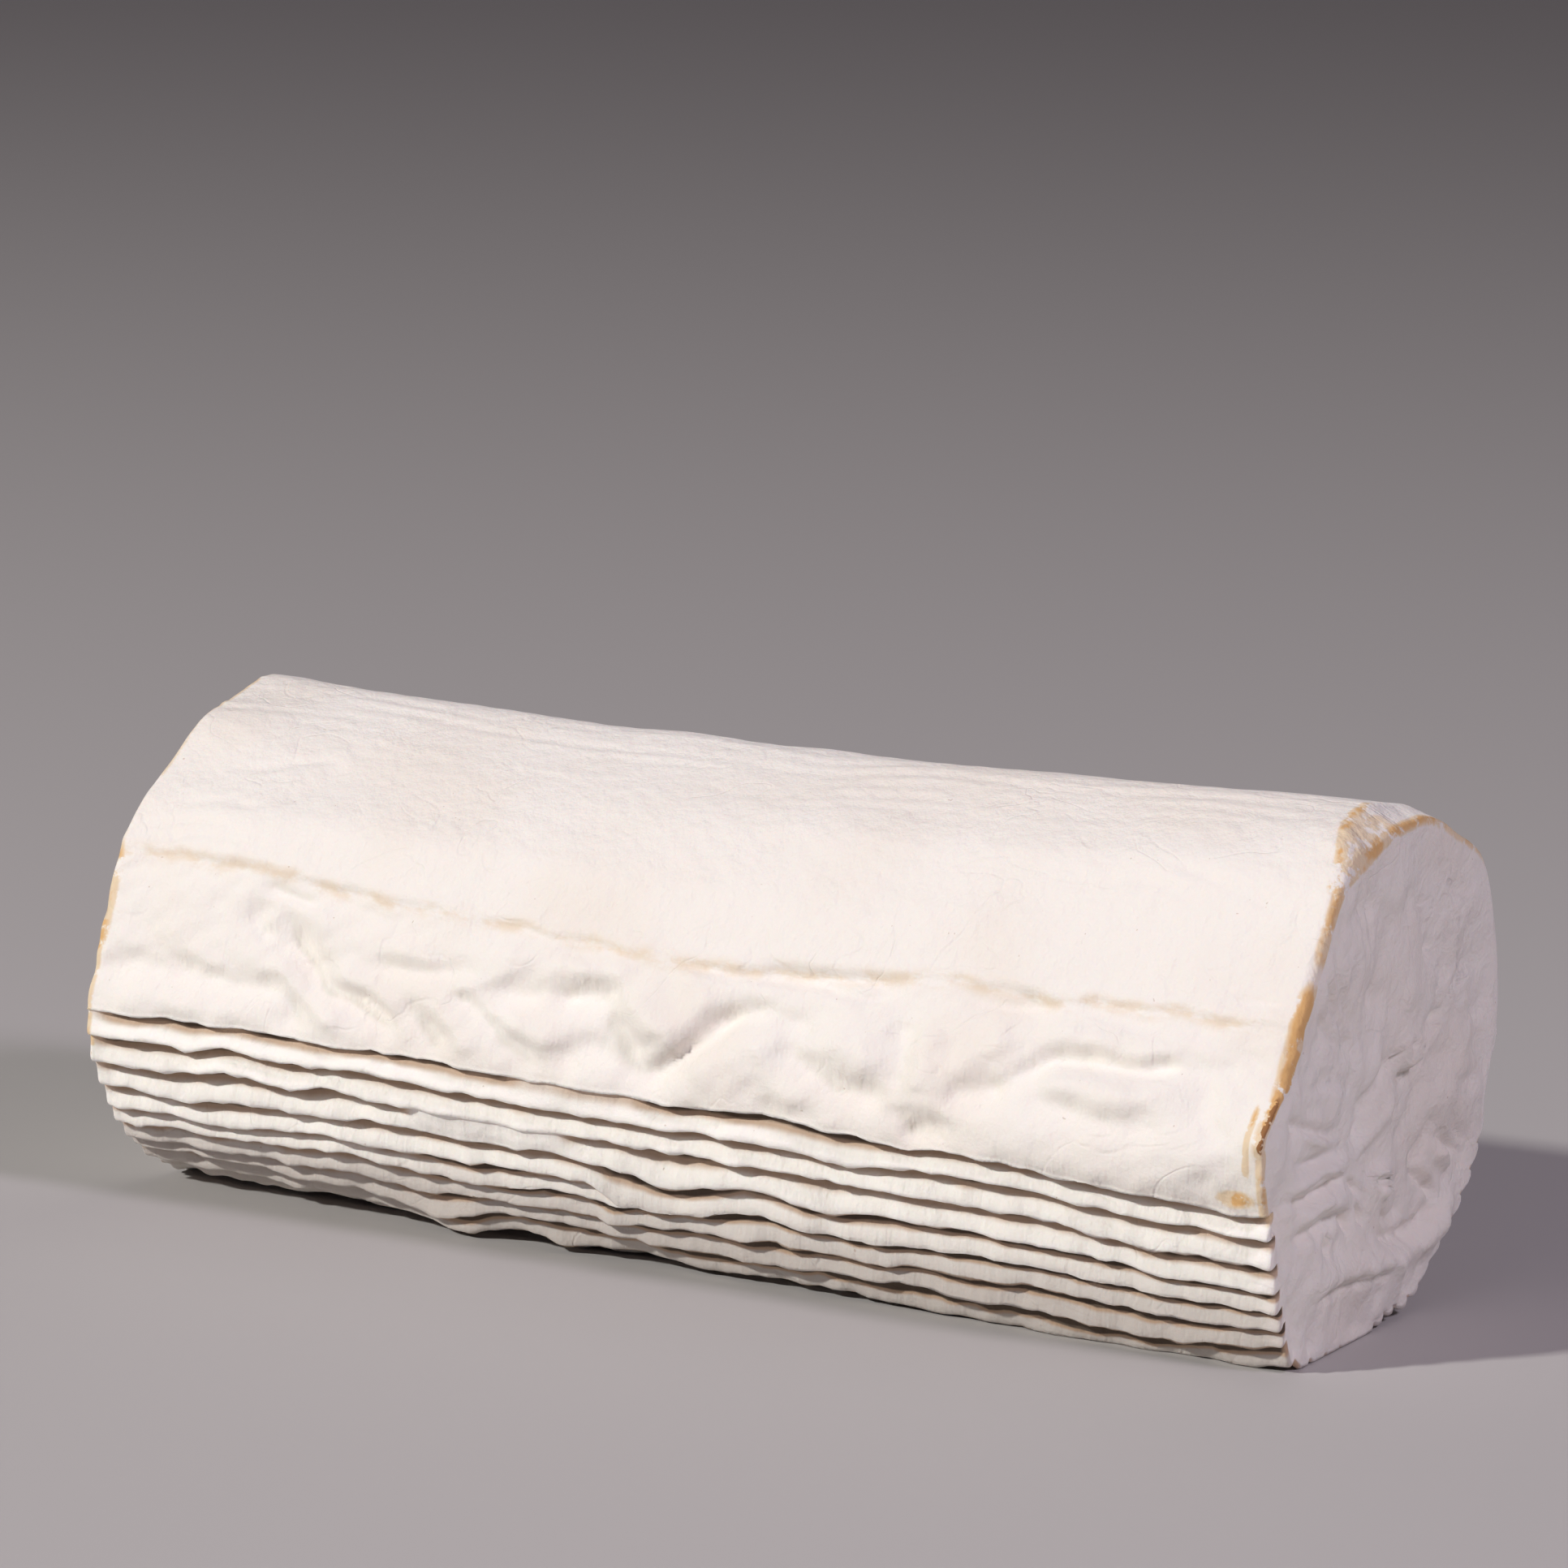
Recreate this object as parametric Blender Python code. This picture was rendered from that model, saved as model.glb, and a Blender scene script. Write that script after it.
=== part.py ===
"""Goat cheese log: a whole ripened log with its white rind, lying on its side.

The log runs along X. Its section is a circle flattened by a few faces, where the
fresh cheese lay on its rack, and the section changes a little from end to end.
The rind is smooth on top, lumpy on the front face, and drawn into long overlapping
pleats low on the front, under the base and up the back.
Angles go round the axis: 0 is the front (-Y), 90 is the top, -90 is the base.
Units are metres, +Z is up, and the origin is under the middle of the log.
"""
import math
import random

import bmesh
import bpy
from mathutils import Vector

MM = 0.001

LENGTH = 205 * MM
AXIS_HEIGHT = 39 * MM

# Faces that flatten the round section: angle, distance at the left end, distance at the right end.
FLATS = [
    (67.8, 32.2 * MM, 33.5 * MM),
    (34.9, 34.9 * MM, 28.1 * MM),
    (16.5, 33.5 * MM, 37.2 * MM),
    (-17.6, 40.9 * MM, 36.7 * MM),
    (-91.0, 39.3 * MM, 39.3 * MM),
    (107.9, 42.9 * MM, 39.2 * MM),
    (230.6, 40.7 * MM, 40.8 * MM),
]
ROUND_LEFT = 40.0 * MM
ROUND_RIGHT = 47.0 * MM
CORNER_SHARPNESS = 32.0

# Pleats: the angles of the first grooves at the left end and at the right end, then an even pitch.
FIRST_GROOVES_LEFT = [-11.2, -16.9, -23.6, -30.0, -36.4, -41.6, -48.0]
FIRST_GROOVES_RIGHT = [-21.1, -27.1, -33.7, -39.7, -42.6, -45.6, -49.3]
EVEN_START = -53.6
EVEN_PITCH = 6.1
LAST_GROOVE = -160.0
FALL_POWER = 1.8
GROOVE_DEPTH = 1.9 * MM
BAND_HEIGHT = 0.6 * MM
UNDERCUT = 0.08

# At the ends of the log the grooves are shallower and no longer undercut.
END_OPENING = 0.4
END_NOTCH = 0.09

# One pleat's profile: place within the pitch, height as a share of the band or of the groove.
# The groove's bottom has no fixed place: it lies under the lip, and in front of it at the ends.
PROFILE = [
    (0.00, 0.20),
    (None, -1.00),
    (0.22, -0.28),
    (0.50, 0.95),
    (0.84, 1.00),
]

# Places where a groove sags: pleat number, place along, drop in degrees, half run.
SAGS = [
    (1, 44 * MM, 1.9, 4 * MM),
    (1, 4 * MM, 0.8, 5 * MM),
    (2, -84 * MM, 1.5, 3 * MM),
    (2, -62 * MM, 1.1, 8 * MM),
    (2, 34 * MM, 1.8, 9 * MM),
    (4, -86 * MM, 1.6, 8 * MM),
    (4, 1 * MM, 3.4, 8 * MM),
    (4, 31 * MM, 2.4, 5 * MM),
    (5, -80 * MM, 1.6, 5 * MM),
    (6, -46 * MM, 2.2, 8 * MM),
    (6, 0 * MM, 2.0, 7 * MM),
    (7, -44 * MM, 1.8, 9 * MM),
]

# Places where a groove drops a step: pleat number, place along, drop in degrees, half run.
STEPS = [
    (3, 75 * MM, 2.2, 3 * MM),
    (4, 78 * MM, 1.2, 4 * MM),
    (2, 80 * MM, 1.4, 6 * MM),
]

# Grooves that are pressed shut along a stretch: pleat number, from, to.
SHUT_STRETCHES = [
    (3, -48 * MM, -12 * MM),
    (5, -9 * MM, 110 * MM),
]

# Swellings and hollows of the rind: place along, angle, half length, half width, height, slant in degrees.
LUMPS = [
    (84 * MM, 90, 42 * MM, 24 * MM, 1.8 * MM, 0),
    (-72 * MM, 92, 20 * MM, 14 * MM, 1.0 * MM, 0),
    (99 * MM, 84, 16 * MM, 6 * MM, 1.3 * MM, 0),
    (100 * MM, 121, 25 * MM, 9 * MM, 2.4 * MM, 0),
    (102 * MM, 140, 25 * MM, 9 * MM, 1.2 * MM, 0),
    (102 * MM, 193, 40 * MM, 8 * MM, -2.4 * MM, 0),
    (102 * MM, 217, 40 * MM, 6 * MM, 1.2 * MM, 0),
    (102 * MM, 254, 40 * MM, 8 * MM, -2.4 * MM, 0),
    (102 * MM, 10, 4 * MM, 4 * MM, -1.0 * MM, 0),
    (-102 * MM, 42, 14 * MM, 7 * MM, -1.2 * MM, 0),
    (-102 * MM, 80, 16 * MM, 10 * MM, 2.0 * MM, 0),
    (-100 * MM, 114, 16 * MM, 9 * MM, 2.0 * MM, 0),
    (-102 * MM, -3, 12 * MM, 9 * MM, 1.0 * MM, 0),
    (-80 * MM, 80, 30 * MM, 14 * MM, 0.7 * MM, 0),
    (-20 * MM, 16, 32 * MM, 4.5 * MM, 1.0 * MM, 0),
    (0 * MM, 7, 5 * MM, 7 * MM, 1.2 * MM, 0),
    (9 * MM, 2, 13 * MM, 3.0 * MM, -2.2 * MM, 58),
    (-3 * MM, -5, 6 * MM, 2.5 * MM, -0.9 * MM, -45),
    (-17 * MM, 8, 11 * MM, 3.0 * MM, -0.9 * MM, -8),
    (-38 * MM, 3, 11 * MM, 5.0 * MM, 0.9 * MM, -20),
    (-63 * MM, 5, 17 * MM, 3.0 * MM, -1.5 * MM, -50),
    (-80 * MM, -6, 24 * MM, 3.5 * MM, 0.7 * MM, 0),
    (-80 * MM, 8, 12 * MM, 6.0 * MM, 0.5 * MM, 0),
    (21 * MM, 2, 6 * MM, 6.0 * MM, 0.9 * MM, 0),
    (32 * MM, -4, 9 * MM, 3.0 * MM, -1.4 * MM, -12),
    (48 * MM, 10, 8 * MM, 8.0 * MM, 0.8 * MM, 40),
    (68 * MM, 8, 20 * MM, 3.2 * MM, -1.6 * MM, 12),
    (76 * MM, -2, 14 * MM, 6.0 * MM, 1.1 * MM, 6),
    (74 * MM, -15, 26 * MM, 4.5 * MM, 1.2 * MM, 0),
    (-42 * MM, -57, 8 * MM, 3.0 * MM, 2.0 * MM, 0),
    (98 * MM, -62, 9 * MM, 4.0 * MM, 1.0 * MM, 0),
    (91 * MM, 4, 9 * MM, 2.5 * MM, -0.9 * MM, 80),
]

# The crease where the smooth top meets the front face.
CREASE_ANGLE = 26.0
CREASE_RISE_LEFT = 4.3
CREASE_SAG = 5.0
CREASE_HEIGHT = 0.5 * MM
CREASE_WIDTH = 2.2 * MM

# Soft ridges along the back of the top.
RIDGE_ANGLE = 96.0
RIDGE_SPREAD = 13.0
RIDGE_PITCH = 5.2
RIDGE_HEIGHT = 0.28 * MM

# Ends: the rounded rim, softer on the top of the right end, and the bevel beside it.
RIM_ROUND = 0.7 * MM
SOFT_RIM = 1.9 * MM
BEVEL_LENGTH = 5.5 * MM
BEVEL_DROP = 3.4 * MM
BEVEL_FROM = 68.0
BEVEL_TO = 152.0
CAP_RELIEF = 0.5 * MM

STATIONS = 23
SMOOTH_POINTS = 44
RIND_COLOUR = (0.93, 0.86, 0.79, 1.0)


def smooth_step(t):
    """0 below 0, 1 above 1, and a smooth rise between."""
    t = min(max(t, 0.0), 1.0)
    return t * t * (3.0 - 2.0 * t)


def bell(t):
    """1 at 0, falling smoothly to nearly 0 at 2."""
    return math.exp(-t * t)


def section_radius(x, angle):
    """Distance from the axis to the even rind, before any relief."""
    radii = []
    for end, round_radius in ((1, ROUND_LEFT), (2, ROUND_RIGHT)):
        total = round_radius ** -CORNER_SHARPNESS
        for flat in FLATS:
            facing = math.cos(math.radians(angle - flat[0]))
            if facing > 0.05:
                total += (facing / flat[end]) ** CORNER_SHARPNESS
        radii.append(total ** (-1.0 / CORNER_SHARPNESS))
    share = x / LENGTH + 0.5
    return radii[0] * (1.0 - share) + radii[1] * share


def groove_ends():
    """Angles of every groove at the left end and at the right end."""
    ends = list(zip(FIRST_GROOVES_LEFT, FIRST_GROOVES_RIGHT))
    angle = EVEN_START
    while angle > LAST_GROOVE:
        ends.append((angle, angle))
        angle -= EVEN_PITCH
    return ends


GROOVES = groove_ends()
WAVES = random.Random(7)
GROOVE_WAVES = [
    [(WAVES.uniform(30, 75) * MM, WAVES.uniform(0, 6.28), WAVES.uniform(0.2, 0.5)) for _ in range(3)]
    for _ in GROOVES
]


def groove_angle(number, x):
    """Angle of a groove at a place along the log. Pleats are numbered from 1, the highest at the front."""
    left, right = GROOVES[number - 1]
    share = max(x / LENGTH + 0.5, 0.0)
    angle = left + (right - left) * share ** FALL_POWER
    wobble = 0.35 if number <= len(FIRST_GROOVES_LEFT) else 1.0
    for length, phase, height in GROOVE_WAVES[number - 1]:
        angle += wobble * height * math.sin(math.tau * x / length + phase)
    for pleat, place, drop, run in SAGS:
        if pleat == number:
            angle -= drop * bell((x - place) / run)
    for pleat, place, drop, run in STEPS:
        if pleat == number:
            angle -= drop * smooth_step((x - place) / (2.0 * run) + 0.5)
    return angle


def groove_opening(number, x):
    """1 where a groove is open, 0 where it is pressed shut, and less towards the ends of the log."""
    opening = 1.0
    for pleat, start, stop in SHUT_STRETCHES:
        if pleat == number:
            inside = min(x - start, stop - x) / (6 * MM)
            opening = min(opening, 1.0 - smooth_step(inside))
    resting = bell((groove_angle(number, x) + 90.0) / 9.0)
    return opening * (1.0 - 0.45 * resting)


def crease_angle(x):
    """Angle of the crease at a place along the log."""
    rise = CREASE_RISE_LEFT * smooth_step((-50 * MM - x) / (28 * MM))
    sag = CREASE_SAG * bell((x - 2 * MM) / (24 * MM))
    return CREASE_ANGLE + rise - sag


def relief(x, angle):
    """Height of the swellings, hollows, crease and ridges of the smooth rind."""
    height = 0.0
    for place, at_angle, half_length, half_width, lump, slant in LUMPS:
        along = x - place
        around = math.radians((angle - at_angle + 180.0) % 360.0 - 180.0) * AXIS_HEIGHT
        turn = math.radians(slant)
        u = along * math.cos(turn) + around * math.sin(turn)
        v = -along * math.sin(turn) + around * math.cos(turn)
        height += lump * bell(u / half_length) * bell(v / half_width)
    from_crease = math.radians(angle - crease_angle(x)) * AXIS_HEIGHT
    height += CREASE_HEIGHT * bell(from_crease / CREASE_WIDTH)
    ridged = bell((angle - RIDGE_ANGLE) / RIDGE_SPREAD)
    height += RIDGE_HEIGHT * ridged * math.cos(math.tau * (angle - RIDGE_ANGLE) / RIDGE_PITCH)
    return height


def end_fade(x):
    """0 at either end of the log, 1 away from the ends."""
    return smooth_step((LENGTH / 2 - abs(x)) / (4 * MM))


def outline(x, pleated):
    """The rind's outline at one place along the log, as (angle, radius) pairs, downwards from the top back."""
    points = []
    fade = end_fade(x)
    notch = END_NOTCH * (1.0 - fade) - UNDERCUT * fade
    first = groove_angle(1, x)
    last = groove_angle(len(GROOVES), x) - EVEN_PITCH
    back = last + 360.0
    for step in range(SMOOTH_POINTS):
        angle = back + (first - back) * (step + 1) / (SMOOTH_POINTS + 1)
        points.append((angle, section_radius(x, angle) + relief(x, angle)))
    for number in range(1, len(GROOVES) + 1):
        here = groove_angle(number, x)
        below = groove_angle(number + 1, x) if number < len(GROOVES) else last
        opening = pleated * groove_opening(number, x) * (END_OPENING + (1.0 - END_OPENING) * fade)
        for share, height in PROFILE:
            if share is None:
                share = notch * opening + END_NOTCH * (1.0 - opening)
            angle = here + (below - here) * share
            if height < 0:
                lift = BAND_HEIGHT * (1.0 - opening) + GROOVE_DEPTH * height * opening
            else:
                lift = BAND_HEIGHT * (1.0 + (height - 1.0) * opening)
            points.append((angle, section_radius(x, angle) + lift + relief(x, angle)))
    return points


def rim_drop(x, angle):
    """How far the rim is taken in at a place near the ends of the log."""
    from_end = LENGTH / 2 - abs(x)
    turn = (angle + 180.0) % 360.0 - 180.0
    corner = RIM_ROUND
    if x > 0:
        corner += (SOFT_RIM - RIM_ROUND) * smooth_step((turn - 2) / 8) * smooth_step((100 - turn) / 25)
    inside = min(max(1.0 - from_end / corner, 0.0), 1.0)
    drop = corner * (1.0 - math.sqrt(1.0 - inside ** 2))
    if x > 0:
        length = BEVEL_LENGTH * (0.27 + 0.73 * smooth_step((turn - BEVEL_FROM) / 27))
        deep = BEVEL_DROP * smooth_step((turn - BEVEL_FROM) / 22) * smooth_step((BEVEL_TO - turn) / 22)
        deep *= 1.0 - 0.55 * smooth_step((turn - 100) / 15)
        drop += deep * min(max(1.0 - from_end / length, 0.0), 1.0)
    return drop


def place(x, angle, radius):
    """A point of the rind, with the base pressed flat."""
    turn = math.radians(angle)
    height = AXIS_HEIGHT + radius * math.sin(turn)
    return Vector((x, -radius * math.cos(turn), max(height, 0.0)))


def station_list():
    """Places along the log where it has a ring of points, closer together at the ends."""
    half = LENGTH / 2
    left = [-half, -half + 0.25 * MM, -half + RIM_ROUND, -half + 4 * MM]
    right = [half - BEVEL_LENGTH, half - SOFT_RIM, half - RIM_ROUND, half - 0.25 * MM, half]
    inner = [left[-1] + (right[0] - left[-1]) * step / (STATIONS + 1) for step in range(1, STATIONS + 1)]
    return left + inner + right


def ring(x, pleated=1.0):
    """Points of one ring of the rind."""
    return [place(x, angle, radius - rim_drop(x, angle)) for angle, radius in outline(x, pleated)]


def cap_ring(x, share):
    """Points of a ring on an end face, a share of the way out from the axis."""
    swell = CAP_RELIEF if x > 0 else -CAP_RELIEF
    points = []
    for point in ring(x, 0.0):
        y = point.y * share
        z = AXIS_HEIGHT + (point.z - AXIS_HEIGHT) * share
        points.append(Vector((x + swell * math.sin(y / (9 * MM)) * math.sin(z / (8 * MM)) * (1 - share), y, z)))
    return points


def extrude_ring(bm, edges, verts, points):
    """Extrudes a ring of edges and moves the new ring to its points."""
    made = bmesh.ops.extrude_edge_only(bm, edges=edges)["geom"]
    new_verts = {item for item in made if isinstance(item, bmesh.types.BMVert)}
    moved = []
    for vert, point in zip(verts, points):
        partner = next(edge.other_vert(vert) for edge in vert.link_edges if edge.other_vert(vert) in new_verts)
        partner.co = point
        moved.append(partner)
    new_edges = [item for item in made if isinstance(item, bmesh.types.BMEdge)]
    ring_edges = [edge for edge in new_edges if edge.verts[0] in new_verts and edge.verts[1] in new_verts]
    return ring_edges, moved


def build_log():
    """The log's closed mesh: rings along it, then two end faces."""
    stations = station_list()
    rings = [cap_ring(stations[0], 0.72), cap_ring(stations[0], 0.93)]
    rings += [ring(x) for x in stations]
    rings += [cap_ring(stations[-1], 0.93), cap_ring(stations[-1], 0.72)]
    bm = bmesh.new()
    verts = bmesh.ops.create_circle(bm, segments=len(rings[0]), radius=LENGTH)["verts"]
    edges = bm.edges[:]
    for vert, point in zip(verts, rings[0]):
        vert.co = point
    bmesh.ops.contextual_create(bm, geom=edges)
    for points in rings[1:]:
        edges, verts = extrude_ring(bm, edges, verts, points)
    bmesh.ops.contextual_create(bm, geom=edges)
    bmesh.ops.recalc_face_normals(bm, faces=bm.faces)
    return bm


def centre(bm):
    """Moves the mesh so that the middle of its box is over the origin."""
    lows = [min(vert.co[axis] for vert in bm.verts) for axis in range(3)]
    highs = [max(vert.co[axis] for vert in bm.verts) for axis in range(3)]
    shift = Vector((-(lows[0] + highs[0]) / 2, -(lows[1] + highs[1]) / 2, -lows[2]))
    bmesh.ops.translate(bm, vec=shift, verts=bm.verts)


def rind_material():
    """The white, matt rind."""
    material = bpy.data.materials.new("rind")
    material.use_nodes = True
    shader = material.node_tree.nodes["Principled BSDF"]
    shader.inputs["Base Color"].default_value = RIND_COLOUR
    shader.inputs["Roughness"].default_value = 0.8
    shader.inputs["Metallic"].default_value = 0.0
    return material


def main():
    for old in list(bpy.data.objects):
        bpy.data.objects.remove(old, do_unlink=True)
    bm = build_log()
    centre(bm)
    mesh = bpy.data.meshes.new("cheese_log")
    bm.to_mesh(mesh)
    bm.free()
    mesh.shade_smooth()
    mesh.materials.append(rind_material())
    log = bpy.data.objects.new("cheese_log", mesh)
    bpy.context.scene.collection.objects.link(log)


main()
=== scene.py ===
"""The looks of the goat cheese log: one skin of rind, rolled round the cheese and closed at both ends.

Angles go round the log's axis as they do in its solid: 0 is the front (-Y), 90 is the top, -90 is the base.
"""
import math

import bpy
import numpy as np
from mathutils import Matrix, Vector


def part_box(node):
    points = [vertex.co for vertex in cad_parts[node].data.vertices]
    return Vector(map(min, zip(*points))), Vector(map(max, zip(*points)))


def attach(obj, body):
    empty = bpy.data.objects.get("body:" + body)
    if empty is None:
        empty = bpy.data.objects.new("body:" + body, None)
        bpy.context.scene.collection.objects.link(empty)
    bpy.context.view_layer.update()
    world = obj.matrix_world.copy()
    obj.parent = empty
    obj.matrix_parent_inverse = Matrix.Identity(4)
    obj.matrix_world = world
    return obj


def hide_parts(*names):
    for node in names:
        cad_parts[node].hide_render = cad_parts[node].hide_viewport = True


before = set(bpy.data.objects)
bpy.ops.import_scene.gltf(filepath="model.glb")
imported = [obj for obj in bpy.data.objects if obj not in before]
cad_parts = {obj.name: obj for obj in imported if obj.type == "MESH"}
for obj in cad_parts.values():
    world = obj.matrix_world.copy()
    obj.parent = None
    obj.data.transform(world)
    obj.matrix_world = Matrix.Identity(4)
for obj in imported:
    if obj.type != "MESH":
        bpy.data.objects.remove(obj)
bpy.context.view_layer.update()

MM = 0.001

# The log's driving sizes, as in its solid.
LENGTH = 205 * MM
HALF = LENGTH / 2
AXIS_HEIGHT = 39 * MM

# Millimetres of rind for one radian round the axis.
ROUND_SCALE = AXIS_HEIGHT / MM

# Faces that flatten the round section: angle, distance at the left end, distance at the right end.
FLATS = [
    (67.8, 32.2 * MM, 33.5 * MM),
    (34.9, 34.9 * MM, 28.1 * MM),
    (16.5, 33.5 * MM, 37.2 * MM),
    (-17.6, 40.9 * MM, 36.7 * MM),
    (-91.0, 39.3 * MM, 39.3 * MM),
    (107.9, 42.9 * MM, 39.2 * MM),
    (230.6, 40.7 * MM, 40.8 * MM),
]
ROUND_LEFT = 40.0 * MM
ROUND_RIGHT = 47.0 * MM
CORNER_SHARPNESS = 32.0

# Pleats: angles of the first grooves at either end, then an even pitch to the back.
FIRST_GROOVES_LEFT = [-11.2, -16.9, -23.6, -30.0, -36.4, -41.6, -48.0]
FIRST_GROOVES_RIGHT = [-21.1, -27.1, -33.7, -39.7, -42.0, -44.2, -48.3]
EVEN_START = -52.6
EVEN_PITCH = 6.1
LAST_GROOVE = -160.0
FALL_POWER = 1.8
FRONT_PLEATS = 9

# A pleat's profile from its groove's lip to the next one: place within the pitch, height over the rind in mm.
# High on the front a pleat is a bulge between deep grooves. Lower down it is a shingle under the one above.
FRONT_PROFILE = [
    (0.00, 0.65), (-0.025, 0.25), (-0.055, -0.60), (-0.06, -1.80), (0.01, -2.80),
    (0.14, -3.00), (0.28, -2.65), (0.40, -1.90), (0.48, -1.15), (0.56, -0.45),
    (0.64, 0.12), (0.73, 0.60), (0.83, 0.95), (0.93, 1.00),
]
LOW_PROFILE = [
    (0.00, 0.90), (-0.02, 0.65), (-0.035, 0.15), (-0.03, -0.40), (0.03, -0.85),
    (0.11, -0.95), (0.21, -0.85), (0.32, -0.66), (0.43, -0.44), (0.53, -0.20),
    (0.63, 0.12), (0.73, 0.52), (0.84, 0.88), (0.94, 1.00),
]
BACK_PROFILE = [
    (0.00, 0.00), (-0.04, -1.00), (0.03, -2.00), (0.16, -1.70), (0.29, -0.60),
    (0.44, 0.30), (0.65, 0.80), (0.88, 0.70),
]

# Height of a groove that is pressed shut, in mm, and the share of its depth that stays.
SHUT_HEIGHT = 0.75
SHUT_DEPTH = 0.10

# A groove this deep, in mm, gets the full painted shade. Under a low pleat's lip the painted shade is this
# strong.
DARK_DEPTH = 2.5
LOW_SHADE = 0.93

# The rind stands this high over the first groove, in mm, from this many degrees above it.
FIRST_LIP_HEIGHT = 0.55
FIRST_LIP_REACH = 8

# Towards the ends the grooves grow shallow over these lengths, down to these shares of their depth.
LEFT_FADE = 5.5 * MM
RIGHT_FADE = 4.0 * MM
LEFT_KEPT = 0.24
RIGHT_KEPT_FRONT = 0.5
RIGHT_KEPT_BACK = 0.35

# Places where a groove sags, or rises where the drop is negative:
# pleat, place along, drop in degrees, half run.
SAGS = [
    (1, 4, 0.6, 4), (1, 20, -1.3, 11), (1, 44, 1.6, 3.2), (1, 58, -1.6, 16), (1, 97, 1.1, 4),
    (2, -84, 1.2, 3), (2, -77, -0.9, 5), (2, -50, -1.0, 6), (2, -15, 0.9, 20), (2, 4, 0.9, 5),
    (2, 33, 1.7, 8), (2, 56, -1.4, 12), (2, 82, 0.8, 8),
    (3, -91, 0.7, 5), (3, -75, -1.9, 7), (3, -58, -1.6, 4), (3, 66, -0.8, 8), (3, 80, 1.4, 7),
    (4, -86, 1.6, 7), (4, -50, -1.5, 4), (4, -20, -1.4, 4), (4, 1, 3.7, 7.5), (4, 30, 2.3, 5),
    (4, 84, 1.1, 7),
    (5, -80, 1.6, 5), (5, -60, -1.2, 4),
    (6, -60, -1.3, 6), (6, -37, 1.9, 12), (6, -4, 1.5, 8), (6, 15, -2.0, 9), (6, 52, -1.6, 18),
    (7, -46, 1.4, 7), (7, -61, -1.2, 5), (7, 15, -1.8, 9), (7, 52, -1.5, 18),
    (8, -44, 1.2, 8), (8, 38, -1.2, 20),
]

# Grooves pressed shut along a stretch, by pleat: from, to.
SHUT_STRETCHES = {3: (-50, -10)}

# Pleats that run out into the one below, by pleat: the place where it ends.
MERGING_PLEATS = {5: -9}

# The angle left between a pleat that has run out and the one below it.
MERGE_GAP = 0.12

# Broad swellings and hollows: place along, angle, half length, half width, height, slant; mm and degrees.
LUMPS = [
    (84, 90, 42, 24, 1.8, 0),
    (-72, 92, 20, 14, 1.0, 0),
    (99, 84, 16, 6, 1.3, 0),
    (100, 121, 25, 9, 2.4, 0),
    (102, 140, 25, 9, 1.2, 0),
    (102, 193, 40, 8, -2.4, 0),
    (102, 217, 40, 6, 1.2, 0),
    (102, 254, 40, 8, -1.6, 0),
    (102, -3, 3.0, 2.5, 1.7, 0),
    (102, 10, 3.5, 4.0, -1.0, 0),
    (-102, 42, 14, 7, -1.2, 0),
    (-102, 80, 16, 10, 2.0, 0),
    (-100, 114, 16, 9, 2.0, 0),
    (-102, -3, 12, 9, 1.0, 0),
    (-80, 80, 30, 14, 0.7, 0),
    (-22, 15, 30, 4.0, 0.8, 0),
    (18, 16, 16, 3.5, 0.6, 0),
    (1, 6, 6, 6.5, 1.3, 0),
    (-19, -1, 9, 3.5, 0.8, 0),
    (-36, 1, 10, 5.0, 0.6, -20),
    (-53, -4, 9, 4.0, 0.7, -18),
    (-82, -6.5, 22, 3.0, 0.7, 0),
    (-83, 8, 12, 6.0, 0.4, 0),
    (-66, -7, 4, 2.5, -0.6, 0),
    (33, 5, 8, 6.0, 0.9, 0),
    (19, 0, 7, 5.0, 0.5, 0),
    (47, 6, 5, 9.0, 0.5, 10),
    (73, 14, 14, 3.0, 0.4, 0),
    (74, 2, 13, 4.5, 1.0, 4),
    (74, -15, 26, 4.5, 1.2, 0),
    (-42, -57, 8, 2.8, 2.4, 0),
    (-10, -46.5, 2.6, 2.4, 1.2, 0),
    (13, -47, 2.5, 2.0, 1.0, 0),
    (4, -57, 6, 2.8, 0.7, 0),
    (-22, -60, 5, 3.0, 1.5, 0),
    (60, -60, 20, 3.0, 0.6, 0),
    (102, -57, 10, 4.0, -1.1, 0),
]

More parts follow.
